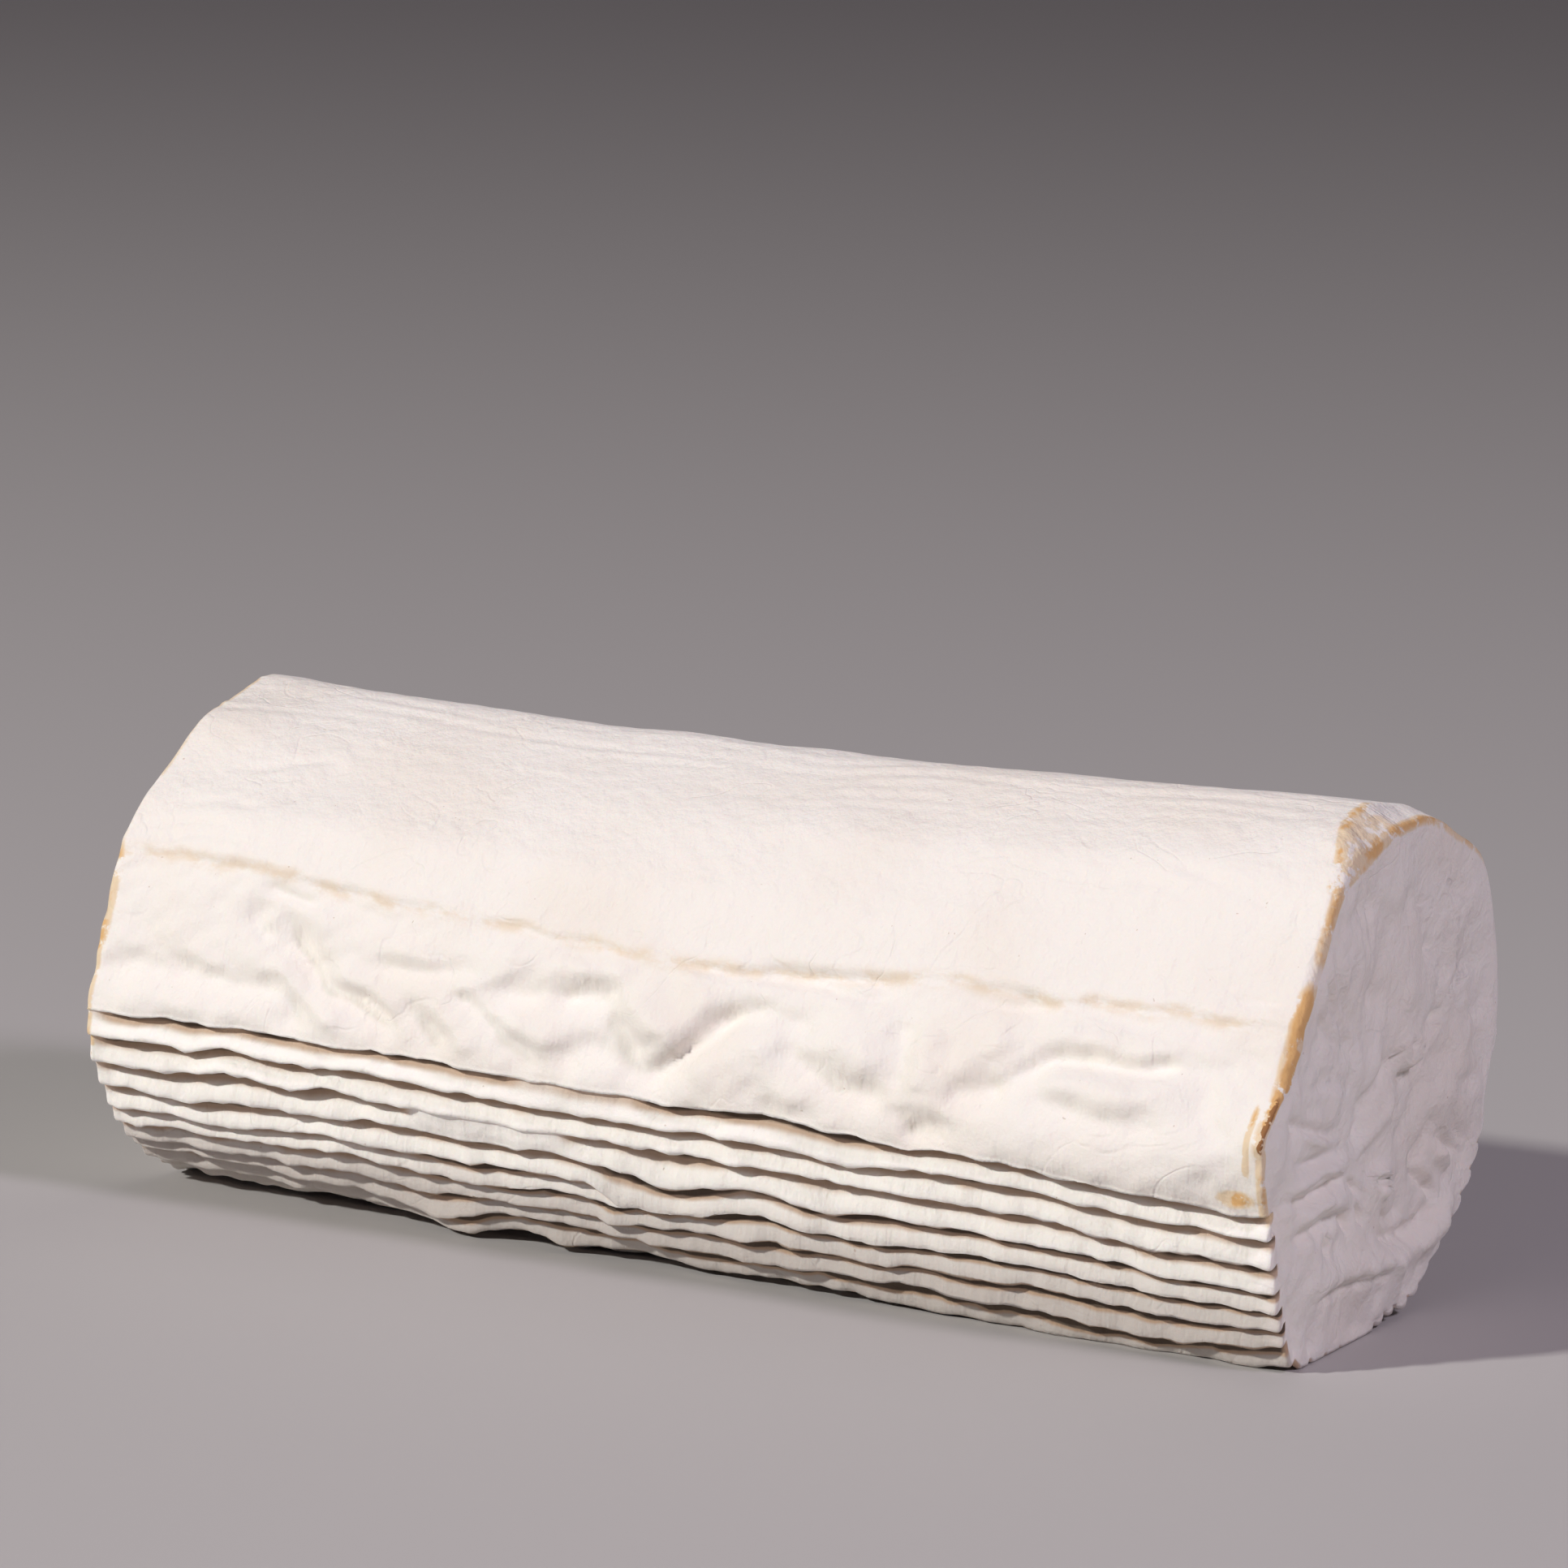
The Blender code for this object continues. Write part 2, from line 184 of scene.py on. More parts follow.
# Folds drawn on the rind: points along the fold as (place in mm, angle), half width in mm, height in mm.
FOLDS = [
    ([(-101, -1), (-90, 0), (-80, -2.5), (-72, -1.8), (-64, 0.5)], 2.2, -0.9),
    ([(-98, -6), (-84, -7), (-70, -6)], 2.2, 0.5),
    ([(-97, 14), (-90, 4), (-80, 0)], 1.0, -0.25),
    ([(-90, 12), (-84, 6), (-78, 1)], 1.2, 0.30),
    ([(-74, 25.5), (-70, 24), (-64, 22)], 0.9, -0.5),
    ([(-69, 20), (-67, 13), (-63, 5), (-60, 0), (-54, -1.5), (-49, -4), (-45, -10)], 2.1, -1.7),
    ([(-74, 22), (-74, 15), (-70, 9), (-66, 5)], 1.5, -0.8),
    ([(-70, 8), (-66, 3), (-60, -3), (-54, -8)], 2.0, 1.0),
    ([(-58, 4), (-53, 2.8), (-49, 0), (-44, -4)], 1.7, 0.9),
    ([(-66, -6), (-62, -8)], 2.2, -0.8),
    ([(-46, 0), (-41, -5), (-37, -10)], 1.8, -1.0),
    ([(-40, 1), (-35, -4), (-31, -9)], 1.5, 0.6),
    ([(-52, 9.5), (-45, 8), (-40, 8.2), (-35, 10)], 1.6, -0.6),
    ([(-52, 13), (-46, 12), (-41, 13)], 2.2, 0.5),
    ([(-37, 4.5), (-31, 8), (-25, 13)], 1.2, 0.65),
    ([(-34, 10), (-28, 15), (-20, 18)], 2.2, 0.3),
    ([(-29, 2), (-25, 4.5), (-21, 6)], 2.0, -0.7),
    ([(-19, 5), (-14, 7.5), (-7, 11)], 2.3, -1.3),
    ([(-20, 15), (-12, 15), (-5, 13)], 2.6, 0.5),
    ([(-36, 4), (-29, -2), (-20, -9)], 1.2, -0.6),
    ([(-30, 3), (-24, -1), (-16, -6)], 2.0, 0.6),
    ([(-17, -9), (-12, -5.5), (-7, -4)], 2.2, -1.1),
    ([(-9, 4), (-6, 0), (-4, -5), (-2, -11)], 1.9, -1.1),
    ([(-5, 10), (-2, 5), (1, 0)], 2.6, 0.9),
    ([(-2, -12.5), (1, -9), (4.5, -4.5), (8, 0.5), (11, 5.5), (15, 10)], 1.7, -1.9),
    ([(-6, -8), (-1, -2), (4, 5), (8, 9)], 2.4, -0.45),
    ([(1, -1), (4, 3), (6.5, 8), (9, 13)], 2.2, 0.9),
    ([(8, -10), (12, -4), (16, 1), (19, 4)], 3.2, 0.5),
    ([(14, 9.5), (20, 8.5), (26, 5.5)], 2.4, -0.8),
    ([(18, 3), (22, 2), (27, 3)], 2.6, 0.6),
    ([(20, 3.5), (25, -1), (31, -5), (36, -6.5), (41, -5)], 2.1, -1.2),
    ([(29, 6), (34, 3), (38, 3)], 3.0, 0.7),
    ([(40, 13), (41, 7), (42, 1), (42, -4)], 1.8, -0.7),
    ([(45, 12), (46, 4), (46, -4)], 2.2, 0.7),
    ([(50, -4), (55, -3), (59, -1)], 2.2, -1.2),
    ([(50, 1), (54, 7), (59, 13)], 1.9, 0.7),
    ([(58, -2), (62, 3), (66, 7.5), (71, 8.5), (76, 7.5), (81, 7.5), (84, 10), (86, 12.5)], 2.0, -1.9),
    ([(62, 14), (72, 15), (82, 14), (88, 16)], 2.8, 0.4),
    ([(64, 3), (72, 5), (80, 4), (86, 5)], 2.6, 0.8),
    ([(86, 12), (89, 9), (90.5, 4), (92, -2), (96, -7)], 2.2, -0.9),
    ([(93, 14), (96, 8), (99, 3)], 1.4, -0.5),
    ([(95, 18), (99, 11)], 1.2, -0.4),
    ([(62, -2), (69, -3), (76, -4.5), (86, -5)], 1.7, -0.6),
    ([(52, -10), (66, -11), (80, -12), (92, -14)], 3.0, 0.3),
    ([(0, 20), (9, 18.5), (14, 19.4), (25, 19.2), (33, 17), (38, 20)], 1.1, -0.65),
    ([(14, 22.5), (26, 22), (38, 23)], 1.6, -0.6),
    ([(50, 21), (56, 20.5), (61, 22)], 1.6, -0.6),
    ([(58, 25.5), (61, 23), (64, 22)], 0.9, -0.4),
    ([(18, -11.5), (24, -13), (30, -11)], 1.6, -0.6),
    ([(42, -9.5), (46, -8.5)], 1.0, -0.5),
    ([(44, -14.5), (47, -12), (52, -11.2)], 1.7, -1.3),
    ([(96, 34), (92, 31)], 0.8, -0.3),
    ([(98, 33), (95, 31)], 0.8, -0.3),
    ([(-88, 62), (-80, 67), (-73, 71)], 0.8, -0.30),
    ([(-73, 72), (-72.5, 62), (-77, 50)], 0.9, -0.28),
    ([(-98, 33), (-90, 37), (-82, 38)], 0.8, -0.25),
    ([(-99, 38), (-91, 41), (-84, 41)], 0.8, -0.25),
    ([(-96, 46), (-88, 49), (-79, 47)], 0.9, -0.22),
    ([(74, 68), (84, 65), (94, 60)], 0.8, -0.25),
    ([(60, 60), (72, 63), (80, 60)], 0.9, -0.22),
]

# Each of these folds is made this many times as high and as wide.
FOLD_STRENGTH = 1.45
FOLD_SPREAD = 1.15

# The crease where the smooth top meets the front face.
CREASE_TRACK = [
    (-104, 30.5), (-78, 30.2), (-68, 28.4), (-58, 26.6), (-45, 25.4), (-30, 23.6), (-15, 21.5), (0, 20.2),
    (15, 21.2), (30, 22.8), (42, 25.6), (56, 25.4), (64, 24.2), (78, 25.2), (104, 24.8),
]

# Soft ridges along the back of the top.
RIDGE_ANGLE = 96.0
RIDGE_SPREAD = 13.0
RIDGE_PITCH = 5.2

# Ends. The right rim is as sharp as the left one low down and rounder on its upper half.
# The bevel is on the right end, from the first of its angles to the second.
RIM_ROUND_LEFT = 0.6 * MM
RIM_ROUND_RIGHT = 1.9 * MM
BEVEL_LENGTH = 5.5 * MM
BEVEL_DROP = 3.4 * MM
BEVEL_FROM = 68.0
BEVEL_TO = 152.0

# How strongly the rim of the right end is stained: angle, strength. Over 1 it turns brown.
RIM_STAIN = np.array([
    (-26, 0.0), (-22, 0.8), (-8, 0.8), (-5, 1.5), (4, 1.5), (7, 1.05), (36, 1.05), (42, 0.3),
    (46, 0.3), (50, 0.75), (70, 0.75), (78, 0.9), (112, 0.9), (140, 0.7), (152, 0.0),
])

# The same for the left end, where the stain stays pale.
LEFT_STAIN = np.array([
    (-24, 0.0), (-21, 0.6), (-2, 0.65), (4, 0.8), (28, 0.8), (33, 0.3), (50, 0.2),
    (57, 0.45), (72, 0.4), (80, 0.25), (90, 0.55), (102, 0.55), (112, 0.0),
])

# How finely the skin of rind is laid out: rows along the log and over its ends, columns round it.
STATIONS = 162
RIM_STATIONS = [0.0, 0.12, 0.35, 0.7, 1.3, 2.0, 2.8, 3.7, 4.6, 5.5]
LEFT_RINGS = 26
RIGHT_RINGS = 34
BACK_STEPS = 38
TOP_STEPS = 56
FRONT_STEPS = 60

# The back's columns go from the last groove to the first of these angles, the top's from there to the second.
TOP_BACK_ANGLE = 105.0
TOP_FRONT_ANGLE = 36.0

# Points of the skin this close together become one.
SEAM_REACH = 0.0001 * MM

# Colours of the rind.
WHITE = (0.900, 0.856, 0.800, 1.0)
CREAM = (0.875, 0.815, 0.745, 1.0)
# Painted light: the pleats below the first groove are made brighter than the rest of the rind.
PLEAT_LIGHT = (0.965, 0.925, 0.870, 1.0)
# Painted shade: the underside of the log is darkened towards the base with this colour.
PAINTED_UNDERSIDE_SHADE = (0.46, 0.40, 0.36, 1.0)
PALE_OCHRE = (0.80, 0.62, 0.40, 1.0)
OCHRE = (0.74, 0.43, 0.16, 1.0)
BROWN = (0.34, 0.16, 0.06, 1.0)
BEIGE = (0.82, 0.70, 0.56, 1.0)
# Painted shade in the grooves, warm, reaching the lit edge below each shadow as a painted warm glow.
WARM_GROOVE_SHADE = (0.50, 0.32, 0.19, 1.0)
# Painted shade at the bottom of deep grooves and under low lips.
DARK_GROOVE_SHADE = (0.07, 0.05, 0.035, 1.0)

FLOOR_COLOUR = (0.52, 0.50, 0.49, 1.0)
FLOOR_SIZE = 12.0
FLOOR_GAP = 0.1 * MM

# Lights: name, azimuth, elevation, distance and size in metres, power in watts, colour.
LIGHTS = [
    ("key", -30, 32, 3.0, 0.16, 68.0, (1.0, 0.985, 0.945)),
    ("front_fill", -8, 3, 2.4, 0.6, 0.3, (1.0, 0.96, 0.96)),
    ("side_fill", 74, 42, 2.0, 0.4, 13.6, (0.94, 0.84, 1.0)),
]
ROOM_COLOUR = (0.88, 0.79, 0.87, 1.0)
ROOM_STRENGTH = 0.12

# The photograph's camera, measured from the axis at the middle of the log.
LENS = 149.0
SENSOR = 36.0
CAMERA_DISTANCE = 1.0007
CAMERA_ELEVATION = 10.25
CAMERA_AZIMUTH = 29.54
CAMERA_ROLL = 1.06
CAMERA_TARGET = (1.95 * MM, 0.0, 72.9 * MM)


def smooth_step(t):
    """0 below 0, 1 above 1, and a smooth rise between."""
    t = np.clip(t, 0.0, 1.0)
    return t * t * (3.0 - 2.0 * t)


def bell(t):
    """1 at 0, falling smoothly to nearly 0 at 2."""
    return np.exp(-t * t)


def turned(angle, middle):
    """The turn from one angle to another, between -180 and 180 degrees."""
    return (angle - middle + 180.0) % 360.0 - 180.0


def smooth_curve(points, per_span=8):
    """A smooth curve through a few points."""
    p = np.array([points[0]] + list(points) + [points[-1]], float)
    curve = []
    for i in range(1, len(p) - 2):
        for t in np.arange(per_span) / per_span:
            curve.append(0.5 * (2 * p[i] + (p[i + 1] - p[i - 1]) * t
                                + (2 * p[i - 1] - 5 * p[i] + 4 * p[i + 1] - p[i + 2]) * t ** 2
                                + (3 * p[i] - p[i - 1] - 3 * p[i + 1] + p[i + 2]) * t ** 3))
    curve.append(p[-2])
    return np.array(curve)


def section_radius(x, angle):
    """Distance from the axis to the even rind, before any relief."""
    radii = []
    for end, round_radius in ((1, ROUND_LEFT), (2, ROUND_RIGHT)):
        total = round_radius ** -CORNER_SHARPNESS
        for flat in FLATS:
            facing = np.cos(np.radians(angle - flat[0]))
            nearness = np.where(facing > 0.05, np.maximum(facing, 0.05) / flat[end], 0.0)
            total = total + nearness ** CORNER_SHARPNESS
        radii.append(total ** (-1.0 / CORNER_SHARPNESS))
    share = x / LENGTH + 0.5
    return radii[0] * (1.0 - share) + radii[1] * share


def rumple(u, v, size, seed, waves=14):
    """Smooth, seeded unevenness of about unit height over two lengths in metres."""
    rng = np.random.default_rng(seed)
    total = np.zeros(np.broadcast(u, v).shape)
    for _ in range(waves):
        turn = rng.uniform(0, math.tau)
        wave = math.tau / (size * rng.uniform(0.7, 1.6))
        total += np.cos((u * math.cos(turn) + v * math.sin(turn)) * wave + rng.uniform(0, math.tau))
    return total / math.sqrt(waves / 2)


def groove_ends():
    """Angles of every groove at the left end and at the right end."""
    ends = list(zip(FIRST_GROOVES_LEFT, FIRST_GROOVES_RIGHT))
    angle = EVEN_START
    while angle > LAST_GROOVE:
        ends.append((angle, angle))
        angle -= EVEN_PITCH
    return ends


GROOVES = groove_ends()


def merged_share(number, x):
    """1 where a pleat has run out into the one below, 0 elsewhere."""
    if number not in MERGING_PLEATS:
        return 0.0 * x
    return smooth_step((x / MM - MERGING_PLEATS[number] + 5.0) / 6.0)


def groove_angle(number, x):
    """Angle of a groove at places along the log. Pleats are numbered from 1, the highest at the front."""
    left, right = GROOVES[number - 1]
    share = np.maximum(x / LENGTH + 0.5, 0.0)
    angle = left + (right - left) * share ** FALL_POWER
    seen = number <= len(FIRST_GROOVES_LEFT)
    angle += (0.14 if seen else 0.7) * rumple(x, number * 7 * MM, 46 * MM, 11)
    angle += (0.06 if seen else 0.22) * rumple(x, number * 5 * MM, 11 * MM, 12)
    angle += 0.035 * rumple(x, number * 8 * MM, 3.5 * MM, 17)
    for pleat, middle, drop, run in SAGS:
        if pleat == number:
            angle -= drop * bell((x / MM - middle) / run)
    if number in MERGING_PLEATS:
        merged = merged_share(number, x)
        angle = angle * (1.0 - merged) + (groove_angle(number + 1, x) + MERGE_GAP) * merged
    return angle


def first_groove_opening(x):
    """The first groove is thin on the left, nearly shut before the middle and wide on the right."""
    along = x / MM
    opening = 0.46 + 0.12 * smooth_step((along + 1.0) / 3.0) + 0.49 * smooth_step((along - 30.0) / 20.0)
    return opening * (1.0 - 0.45 * smooth_step((along + 27.0) / 5.0) * smooth_step(-along / 3.0))


def groove_opening(number, x):
    """How far a groove is open: 0 where it is pressed shut, 1 where it is at its common width."""
    opening = 1.0 + 0.14 * rumple(x, number * 9 * MM, 34 * MM, 13)
    opening += 0.07 * rumple(x, number * 9 * MM, 9 * MM, 16)
    if number in SHUT_STRETCHES:
        start, stop = SHUT_STRETCHES[number]
        opening = opening * (1.0 - smooth_step(np.minimum(x / MM - start, stop - x / MM) / 9.0))
    if number == 1:
        opening = opening * first_groove_opening(x)
    resting = bell((groove_angle(number, x) + 90.0) / 9.0)
    return opening * (1.0 - 0.45 * resting)


CREASE_CURVE = smooth_curve(CREASE_TRACK)


def crease_angle(x):
    """Angle of the crease at a place along the log."""
    wander = 0.45 * rumple(x, 0.0, 12 * MM, 51) + 0.25 * rumple(x, 0.0, 4.5 * MM, 52)
    return np.interp(x / MM, CREASE_CURVE[:, 0], CREASE_CURVE[:, 1]) + wander


def fold_height(x, around, points, width, height):
    """Height that a drawn fold adds at places given by x and by the distance round the log, both in mm."""
    curve = smooth_curve([(p[0], math.radians(p[1]) * ROUND_SCALE) for p in points])
    total = np.zeros(x.shape)
    near = (x > curve[:, 0].min() - 3 * width) & (x < curve[:, 0].max() + 3 * width)
    near &= (around > curve[:, 1].min() - 3 * width) & (around < curve[:, 1].max() + 3 * width)
    px, py = x[near], around[near]
    best = np.full(px.shape, 1e9)
    where = np.zeros(px.shape)
    for i in range(len(curve) - 1):
        a, b = curve[i], curve[i + 1]
        span = b - a
        t = np.clip(((px - a[0]) * span[0] + (py - a[1]) * span[1]) / max(span @ span, 1e-9), 0, 1)
        far = (px - a[0] - t * span[0]) ** 2 + (py - a[1] - t * span[1]) ** 2
        closer = far < best
        best = np.where(closer, far, best)
        where = np.where(closer, (i + t) / (len(curve) - 1), where)
    ends = 0.25 + 0.75 * smooth_step(where / 0.2) * smooth_step((1 - where) / 0.2)
    total[near] = height * ends * np.exp(-best / width ** 2)
    return total


def lump_height(along, angle):
    """Height of the broad swellings and hollows, in mm."""
    height = np.zeros(along.shape)
    for middle, at_angle, half_length, half_width, lump, slant in LUMPS:
        turn = math.radians(slant)
        du = along - middle
        dv = np.radians(turned(angle, at_angle)) * ROUND_SCALE
        u = du * math.cos(turn) + dv * math.sin(turn)
        v = -du * math.sin(turn) + dv * math.cos(turn)
        height += lump * bell(u / half_length) * bell(v / half_width)
    return height


def crease_height(x, around):
    """Height of the crease, in mm: a low swelling above a narrow dip and a wider one below it."""
    from_crease = around - np.radians(crease_angle(x)) * ROUND_SCALE
    ledge = 0.75 + 0.35 * rumple(x, 0.0, 20 * MM, 53)
    dip = 0.35 * bell(from_crease / 0.9) + 0.40 * bell((from_crease + 2.2) / 2.4)
    return 0.35 * bell((from_crease - 1.4) / 2.0) - ledge * dip


def ridge_height(x, around, angle):
    """Height of the soft ridges along the back of the top, in mm."""
    ridged = 0.5 + 0.5 * rumple(x / 5, around * MM, 9 * MM, 21)
    ridged = ridged * bell((angle - RIDGE_ANGLE) / RIDGE_SPREAD)
    wave = math.tau * (angle - RIDGE_ANGLE) / RIDGE_PITCH + 1.4 * rumple(x, 0, 40 * MM, 22)
    return 0.20 * ridged * np.cos(wave)


def unevenness(x, around, angle):
    """Height of the rind's small unevenness, in mm: lumpy under the crease and nearly smooth over it."""
    lumpy = smooth_step((crease_angle(x) - angle) / 4.0)
    rough = 0.20 * rumple(x, around * MM, 11 * MM, 23) + 0.09 * rumple(x, around * MM, 4.5 * MM, 24)
    even = 0.10 * rumple(x, around * MM, 26 * MM, 25) + 0.03 * rumple(x, around * MM, 6 * MM, 26)
    return lumpy * rough + (1 - lumpy) * even


def barrel_relief(x, angle):
    """Height of the swellings, hollows, folds, crease and ridges of the rind, in metres."""
    along = x / MM
    around = np.radians(angle) * ROUND_SCALE
    height = lump_height(along, angle)
    for points, width, fold in FOLDS:
        height += FOLD_STRENGTH * fold_height(along, around, points, width * FOLD_SPREAD, fold)
    height += crease_height(x, around)
    height += ridge_height(x, around, angle)
    height += unevenness(x, around, angle)
    return height * MM


def bevel_length(turn):
    """How far the bevel reaches along the log, narrow at the front and full on the top."""
    return BEVEL_LENGTH * (0.27 + 0.73 * smooth_step((turn - BEVEL_FROM) / 27))


def rim_drop(x, angle):
    """How far the rim is taken in at places near the ends of the log."""
    from_end = HALF - np.abs(x)
    turn = turned(angle, 0.0)
    upper = smooth_step((turn - 2) / 8) * smooth_step((100 - turn) / 25)
    right_round = RIM_ROUND_LEFT + (RIM_ROUND_RIGHT - RIM_ROUND_LEFT) * upper
    corner = np.where(x > 0, right_round, RIM_ROUND_LEFT)
    inside = np.clip(1.0 - from_end / corner, 0.0, 1.0)
    drop = corner * (1.0 - np.sqrt(1.0 - inside ** 2))
    deep = BEVEL_DROP * smooth_step((turn - BEVEL_FROM) / 22) * smooth_step((BEVEL_TO - turn) / 22)
    deep = deep * (1.0 - 0.55 * smooth_step((turn - 100) / 15)) * (x > 0)
    return drop + deep * np.clip(1.0 - from_end / bevel_length(turn), 0.0, 1.0)


def smooth_columns(x, first, last):
    """Columns from the last groove at the back, over the top, to the first groove at the front."""
    columns = []
    turns = [last + 360.0, TOP_BACK_ANGLE + 0.0 * x, TOP_FRONT_ANGLE + 0.0 * x, first]
    for start, stop, count in zip(turns, turns[1:], [BACK_STEPS, TOP_STEPS, FRONT_STEPS]):
        for step in range(count):
            angle = start + (stop - start) * (step + 0.5) / count
            near_lip = smooth_step((first + FIRST_LIP_REACH - angle) / FIRST_LIP_REACH)
            rolled = 0.85 + 0.15 * smooth_step((angle - first - 0.1) / 0.9)
            columns.append((angle, FIRST_LIP_HEIGHT * near_lip * rolled, 0.0 * x))
    return columns


def pleat_columns(number, x, here, below):
    """Columns of one pleat, from its groove's lip to the next groove."""
    columns = []
    front = number <= FRONT_PLEATS
    fade = smooth_step((HALF - np.abs(x)) / np.where(x > 0, RIGHT_FADE, LEFT_FADE))
    right_kept = RIGHT_KEPT_FRONT if number <= len(FIRST_GROOVES_LEFT) else RIGHT_KEPT_BACK
    kept = np.where(x > 0, right_kept, LEFT_KEPT)
    low = smooth_step((-24 - here) / 18) * (1.0 - 0.5 * smooth_step((-x / MM - 30) / 25))
    opening = groove_opening(number, x) * (kept + (1.0 - kept) * fade)
    shut = np.clip(1.0 - 1.6 * opening, 0.0, 1.0)
    merged = merged_share(number, x)
    merged_lift = FRONT_PROFILE[0][1] + low * (LOW_PROFILE[0][1] - FRONT_PROFILE[0][1])
    ragged = 0.03 * rumple(x, number * 3 * MM, 5 * MM, 14)
    edge = 0.10 * rumple(x, number * 4 * MM, 7 * MM, 15) * fade
    furthest = 0.0
    for step, (share, height) in enumerate(FRONT_PROFILE if front else BACK_PROFILE):
        low_share, low_height = LOW_PROFILE[step] if front else (share, height)
        place_in = share + (low_share - share) * low
        lift = height + (low_height - height) * low
        # Painted shade: the top of a low pleat, under the lip above, is marked to be darkened like a groove.
        shade = LOW_SHADE * low * front * smooth_step((0.68 - place_in) / 0.25)
        depth = (np.maximum(-lift, 0.0) / DARK_DEPTH + shade) * (1 - shut) * (1 - merged)
        place_in = place_in + ragged * (1 - min(abs(share) / 0.3, 1.0))
        furthest = max(furthest + 0.012, share)
        if share < furthest:
            hanging = (1 - shut) * fade
            place_in = place_in * hanging + furthest * (1 - hanging)
        place_in = place_in * (1 - merged) + step / len(FRONT_PROFILE) * merged
        lift = np.where(lift < 0, lift * opening, lift)
        lift = lift + edge * (math.exp(-(share / 0.12) ** 2) + math.exp(-((1 - share) / 0.25) ** 2))
        lift = lift * (1 - shut) + (SHUT_HEIGHT + SHUT_DEPTH * min(height, 0.0)) * shut
        lift = lift * (1 - merged) + merged_lift * merged
        columns.append((here + (below - here) * place_in, lift, depth))
    return columns


def lay_skin(x):
    """The skin's points: angles, lifts over the even rind and groove depths that set the painted shade, one
    row for each place.
    """
    grooves = [groove_angle(number, x) for number in range(1, len(GROOVES) + 1)]
    last = grooves[-1] - EVEN_PITCH
    columns = smooth_columns(x, grooves[0], last)
    for number, (here, below) in enumerate(zip(grooves, grooves[1:] + [last]), 1):
        columns += pleat_columns(number, x, here, below)
    angles, lifts, depths = (np.stack([column[i] for column in columns], 1) for i in range(3))
    return angles, lifts * MM, depths


def rind_points(x, angle, radius):
    """Points of the rind, with the base pressed flat."""
    turn = np.radians(angle)
    height = np.maximum(AXIS_HEIGHT + radius * np.sin(turn), 0.0)
    return np.stack([x + 0.0 * angle, -radius * np.cos(turn), height], -1)


def station_list():
    """Places along the log where the skin has a row, closer together at the ends."""
    left = [-HALF + d * MM for d in RIM_STATIONS]
    right = [HALF - d * MM for d in reversed(RIM_STATIONS)]
    inner = list(np.linspace(left[-1], right[0], STATIONS + 2)[1:-1])
    return left + inner + right


